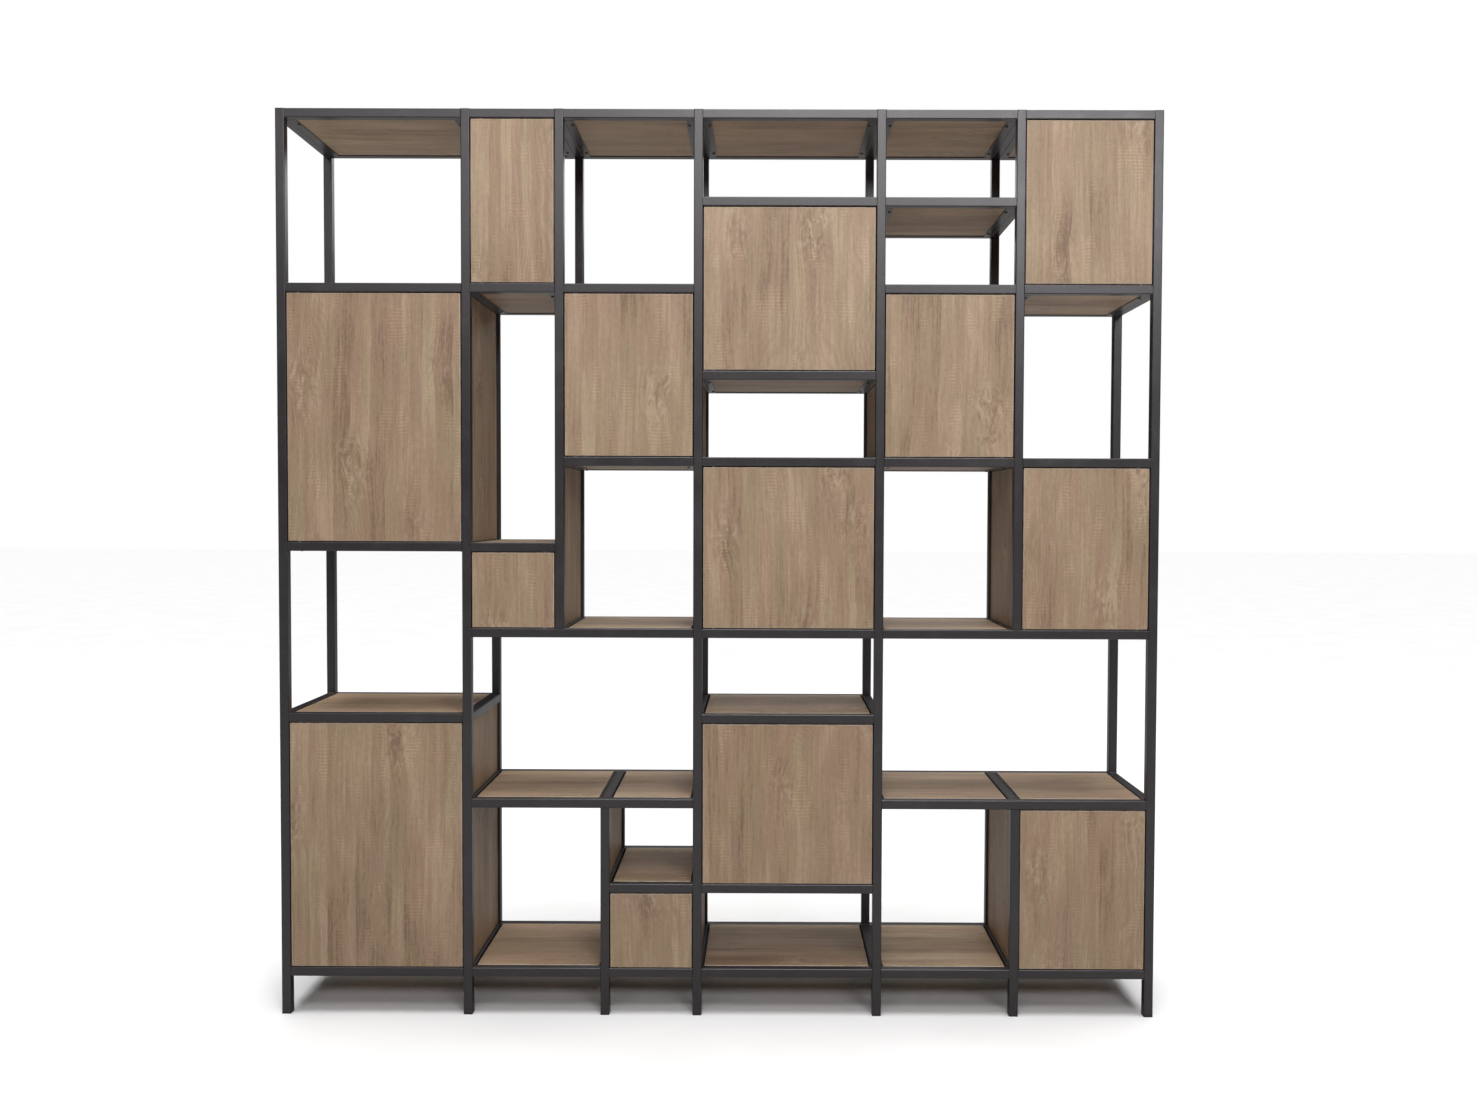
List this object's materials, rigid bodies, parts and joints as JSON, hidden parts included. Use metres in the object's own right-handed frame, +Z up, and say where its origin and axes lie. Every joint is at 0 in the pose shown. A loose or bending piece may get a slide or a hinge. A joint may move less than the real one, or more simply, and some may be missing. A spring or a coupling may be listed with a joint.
{
  "type": "modular storage shelf",
  "caption": "Tall square-tube shelf with oak boards, open cells and push-to-open cabinets set in an uneven grid.",
  "frame": {"origin": "on the floor, under the middle of the unit's width and depth", "axes": "+X to the right seen from the front, +Y to the back, +Z up"},
  "size_m": [1.94, 0.3, 2],
  "materials": {
    "frame_steel": "fine-textured powder coat, charcoal",
    "oak_board": "light oak melamine with a matt embossed grain",
    "zinc_steel": "bright zinc plate",
    "black_plastic": "moulded, fine matt",
    "grey_plastic": "moulded, satin"
  },
  "bodies": {
    "frame": {"side_frame_left_end": "frame_steel", "side_frame_1_2": "frame_steel", "side_frame_2_3_upper": "frame_steel", "side_frame_2_3_lower": "frame_steel", "side_frame_3_4": "frame_steel", "side_frame_4_5": "frame_steel", "side_frame_5_6_upper": "frame_steel", "side_frame_5_6_lower": "frame_steel", "side_frame_right_end": "frame_steel", "front_rails": "frame_steel", "back_rails": "frame_steel", "rail_spigots": "frame_steel", "grub_screws": "zinc_steel", "feet": "black_plastic", "post_caps": "black_plastic", "shelf_boards": "oak_board", "side_panels": "oak_board", "back_panels": "oak_board", "wood_screws": "zinc_steel", "pivot_pins": "zinc_steel", "latch_bodies": "grey_plastic"},
    "door_column_1_upper": {"door_column_1_upper": "oak_board", "door_fittings_column_1_upper": "zinc_steel"},
    "latch_plunger_column_1_upper": {"latch_plunger_column_1_upper": "grey_plastic"},
    "door_column_1_lower": {"door_column_1_lower": "oak_board", "door_fittings_column_1_lower": "zinc_steel"},
    "latch_plunger_column_1_lower": {"latch_plunger_column_1_lower": "grey_plastic"},
    "door_column_2_upper": {"door_column_2_upper": "oak_board", "door_fittings_column_2_upper": "zinc_steel"},
    "latch_plunger_column_2_upper": {"latch_plunger_column_2_upper": "grey_plastic"},
    "door_column_2_lower": {"door_column_2_lower": "oak_board", "door_fittings_column_2_lower": "zinc_steel"},
    "latch_plunger_column_2_lower": {"latch_plunger_column_2_lower": "grey_plastic"},
    "door_column_3_upper": {"door_column_3_upper": "oak_board", "door_fittings_column_3_upper": "zinc_steel"},
    "latch_plunger_column_3_upper": {"latch_plunger_column_3_upper": "grey_plastic"},
    "door_column_3_lower": {"door_column_3_lower": "oak_board", "door_fittings_column_3_lower": "zinc_steel"},
    "latch_plunger_column_3_lower": {"latch_plunger_column_3_lower": "grey_plastic"},
    "door_column_4_upper": {"door_column_4_upper": "oak_board", "door_fittings_column_4_upper": "zinc_steel"},
    "latch_plunger_column_4_upper": {"latch_plunger_column_4_upper": "grey_plastic"},
    "door_column_4_middle": {"door_column_4_middle": "oak_board", "door_fittings_column_4_middle": "zinc_steel"},
    "latch_plunger_column_4_middle": {"latch_plunger_column_4_middle": "grey_plastic"},
    "door_column_4_lower": {"door_column_4_lower": "oak_board", "door_fittings_column_4_lower": "zinc_steel"},
    "latch_plunger_column_4_lower": {"latch_plunger_column_4_lower": "grey_plastic"},
    "door_column_5_upper": {"door_column_5_upper": "oak_board", "door_fittings_column_5_upper": "zinc_steel"},
    "latch_plunger_column_5_upper": {"latch_plunger_column_5_upper": "grey_plastic"},
    "door_column_6_upper": {"door_column_6_upper": "oak_board", "door_fittings_column_6_upper": "zinc_steel"},
    "latch_plunger_column_6_upper": {"latch_plunger_column_6_upper": "grey_plastic"},
    "door_column_6_middle": {"door_column_6_middle": "oak_board", "door_fittings_column_6_middle": "zinc_steel"},
    "latch_plunger_column_6_middle": {"latch_plunger_column_6_middle": "grey_plastic"},
    "door_column_6_lower": {"door_column_6_lower": "oak_board", "door_fittings_column_6_lower": "zinc_steel"},
    "latch_plunger_column_6_lower": {"latch_plunger_column_6_lower": "grey_plastic"}
  },
  "joints": [
    {"name": "door_column_1_upper_hinge", "type": "hinge", "parent": "frame", "child": "door_column_1_upper", "pos_m": [-0.926, -0.14, 1.33675], "axis": [0, 0, -1], "range_deg": [0, 105]},
    {"name": "latch_plunger_column_1_upper_slide", "type": "slide", "parent": "frame", "child": "latch_plunger_column_1_upper", "axis": [0, 1, 0], "range_m": [0, 0.003], "stiffness_N_per_m": 300, "springref_m": -0.01},
    {"name": "door_column_1_lower_hinge", "type": "hinge", "parent": "frame", "child": "door_column_1_lower", "pos_m": [-0.926, -0.14, 0.38925], "axis": [0, 0, -1], "range_deg": [0, 105]},
    {"name": "latch_plunger_column_1_lower_slide", "type": "slide", "parent": "frame", "child": "latch_plunger_column_1_lower", "axis": [0, 1, 0], "range_m": [0, 0.003], "stiffness_N_per_m": 300, "springref_m": -0.01},
    {"name": "door_column_2_upper_hinge", "type": "hinge", "parent": "frame", "child": "door_column_2_upper", "pos_m": [-0.521, -0.14, 1.8105], "axis": [0, 0, -1], "range_deg": [0, 105]},
    {"name": "latch_plunger_column_2_upper_slide", "type": "slide", "parent": "frame", "child": "latch_plunger_column_2_upper", "axis": [0, 1, 0], "range_m": [0, 0.003], "stiffness_N_per_m": 300, "springref_m": -0.01},
    {"name": "door_column_2_lower_hinge", "type": "hinge", "parent": "frame", "child": "door_column_2_lower", "pos_m": [-0.384, -0.14, 0.95775], "axis": [0, 0, 1], "range_deg": [0, 105]},
    {"name": "latch_plunger_column_2_lower_slide", "type": "slide", "parent": "frame", "child": "latch_plunger_column_2_lower", "axis": [0, 1, 0], "range_m": [0, 0.003], "stiffness_N_per_m": 300, "springref_m": -0.01},
    {"name": "door_column_3_upper_hinge", "type": "hinge", "parent": "frame", "child": "door_column_3_upper", "pos_m": [-0.316, -0.14, 1.4315], "axis": [0, 0, -1], "range_deg": [0, 105]},
    {"name": "latch_plunger_column_3_upper_slide", "type": "slide", "parent": "frame", "child": "latch_plunger_column_3_upper", "axis": [0, 1, 0], "range_m": [0, 0.003], "stiffness_N_per_m": 300, "springref_m": -0.01},
    {"name": "door_column_3_lower_hinge", "type": "hinge", "parent": "frame", "child": "door_column_3_lower", "pos_m": [-0.216, -0.14, 0.19975], "axis": [0, 0, -1], "range_deg": [0, 105]},
    {"name": "latch_plunger_column_3_lower_slide", "type": "slide", "parent": "frame", "child": "latch_plunger_column_3_lower", "axis": [0, 1, 0], "range_m": [0, 0.003], "stiffness_N_per_m": 300, "springref_m": -0.01},
    {"name": "door_column_4_upper_hinge", "type": "hinge", "parent": "frame", "child": "door_column_4_upper", "pos_m": [-0.011, -0.14, 1.621], "axis": [0, 0, -1], "range_deg": [0, 105]},
    {"name": "latch_plunger_column_4_upper_slide", "type": "slide", "parent": "frame", "child": "latch_plunger_column_4_upper", "axis": [0, 1, 0], "range_m": [0, 0.003], "stiffness_N_per_m": 300, "springref_m": -0.01},
    {"name": "door_column_4_middle_hinge", "type": "hinge", "parent": "frame", "child": "door_column_4_middle", "pos_m": [-0.011, -0.14, 1.0525], "axis": [0, 0, -1], "range_deg": [0, 105]},
    {"name": "latch_plunger_column_4_middle_slide", "type": "slide", "parent": "frame", "child": "latch_plunger_column_4_middle", "axis": [0, 1, 0], "range_m": [0, 0.003], "stiffness_N_per_m": 300, "springref_m": -0.01},
    {"name": "door_column_4_lower_hinge", "type": "hinge", "parent": "frame", "child": "door_column_4_lower", "pos_m": [-0.011, -0.14, 0.484], "axis": [0, 0, -1], "range_deg": [0, 105]},
    {"name": "latch_plunger_column_4_lower_slide", "type": "slide", "parent": "frame", "child": "latch_plunger_column_4_lower", "axis": [0, 1, 0], "range_m": [0, 0.003], "stiffness_N_per_m": 300, "springref_m": -0.01},
    {"name": "door_column_5_upper_hinge", "type": "hinge", "parent": "frame", "child": "door_column_5_upper", "pos_m": [0.626, -0.14, 1.4315], "axis": [0, 0, 1], "range_deg": [0, 105]},
    {"name": "latch_plunger_column_5_upper_slide", "type": "slide", "parent": "frame", "child": "latch_plunger_column_5_upper", "axis": [0, 1, 0], "range_m": [0, 0.003], "stiffness_N_per_m": 300, "springref_m": -0.01},
    {"name": "door_column_6_upper_hinge", "type": "hinge", "parent": "frame", "child": "door_column_6_upper", "pos_m": [0.926, -0.14, 1.8105], "axis": [0, 0, 1], "range_deg": [0, 105]},
    {"name": "latch_plunger_column_6_upper_slide", "type": "slide", "parent": "frame", "child": "latch_plunger_column_6_upper", "axis": [0, 1, 0], "range_m": [0, 0.003], "stiffness_N_per_m": 300, "springref_m": -0.01},
    {"name": "door_column_6_middle_hinge", "type": "hinge", "parent": "frame", "child": "door_column_6_middle", "pos_m": [0.926, -0.14, 1.0525], "axis": [0, 0, 1], "range_deg": [0, 105]},
    {"name": "latch_plunger_column_6_middle_slide", "type": "slide", "parent": "frame", "child": "latch_plunger_column_6_middle", "axis": [0, 1, 0], "range_m": [0, 0.003], "stiffness_N_per_m": 300, "springref_m": -0.01},
    {"name": "door_column_6_lower_hinge", "type": "hinge", "parent": "frame", "child": "door_column_6_lower", "pos_m": [0.926, -0.14, 0.2945], "axis": [0, 0, 1], "range_deg": [0, 105]},
    {"name": "latch_plunger_column_6_lower_slide", "type": "slide", "parent": "frame", "child": "latch_plunger_column_6_lower", "axis": [0, 1, 0], "range_m": [0, 0.003], "stiffness_N_per_m": 300, "springref_m": -0.01}
  ]
}
